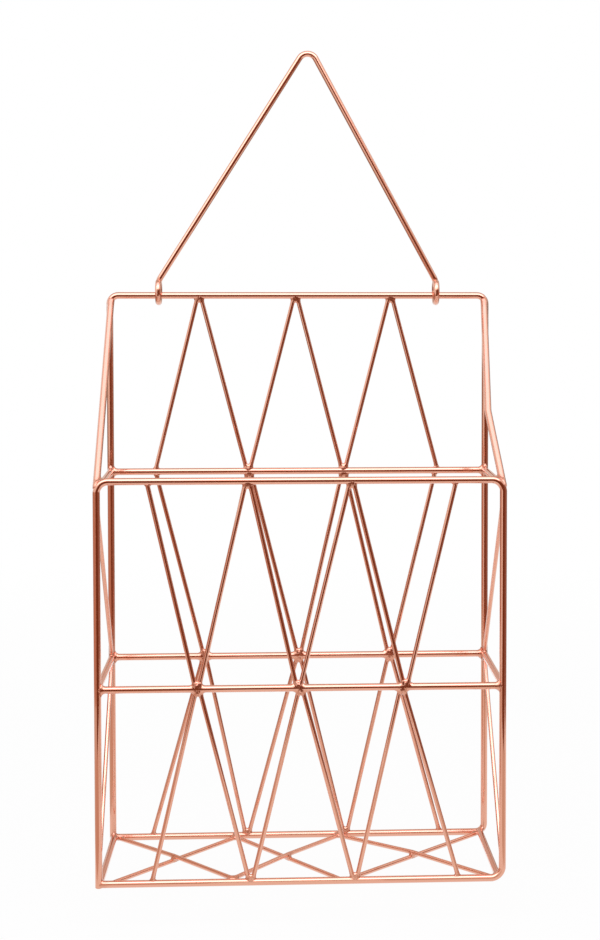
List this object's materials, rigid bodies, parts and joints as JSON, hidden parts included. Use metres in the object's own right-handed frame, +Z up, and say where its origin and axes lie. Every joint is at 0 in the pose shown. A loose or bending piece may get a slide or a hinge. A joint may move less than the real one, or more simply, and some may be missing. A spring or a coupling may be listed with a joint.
{
  "type": "wall magazine rack",
  "caption": "Open wire pocket with zigzag panels, hung from a bent wire hanger whose eyes turn on the top wire, for magazines on a wall.",
  "frame": {"origin": "the nail seat: the underside of the hanger's bend, on the wire's centre plane", "axes": "+Z up, +Y towards the wall, -Y the open front, +X to the right as seen from the front"},
  "size_m": [0.2443, 0.1008, 0.5064],
  "materials": {
    "hanger_wire": "bright copper plated steel wire",
    "frame_wire": "bright copper plated steel wire",
    "infill_wire": "bright copper plated steel wire"
  },
  "bodies": {
    "hanger": {"hanger": "hanger_wire"},
    "rack": {"back_frame": "frame_wire", "back_upper_rail": "frame_wire", "back_mid_rail": "frame_wire", "front_frame": "frame_wire", "front_mid_rail": "frame_wire", "side_rail_bottom_left": "frame_wire", "side_rail_mid_left": "frame_wire", "side_rail_top_left": "frame_wire", "side_brace_left": "frame_wire", "side_rail_bottom_right": "frame_wire", "side_rail_mid_right": "frame_wire", "side_rail_top_right": "frame_wire", "side_brace_right": "frame_wire", "back_zigzag_top": "infill_wire", "back_zigzag_middle": "infill_wire", "back_zigzag_bottom": "infill_wire", "front_zigzag_upper": "infill_wire", "front_zigzag_lower": "infill_wire", "side_diagonal_upper_left": "infill_wire", "side_diagonal_lower_left": "infill_wire", "side_diagonal_upper_right": "infill_wire", "side_diagonal_lower_right": "infill_wire", "base_zigzag_under": "infill_wire", "base_zigzag_over": "infill_wire"}
  },
  "joints": [
    {"name": "rack_swing", "type": "hinge", "parent": "hanger", "child": "rack", "pos_m": [-0.006, 0, -0.1516], "axis": [-1, 0, 0], "range_deg": [0, 138]}
  ]
}
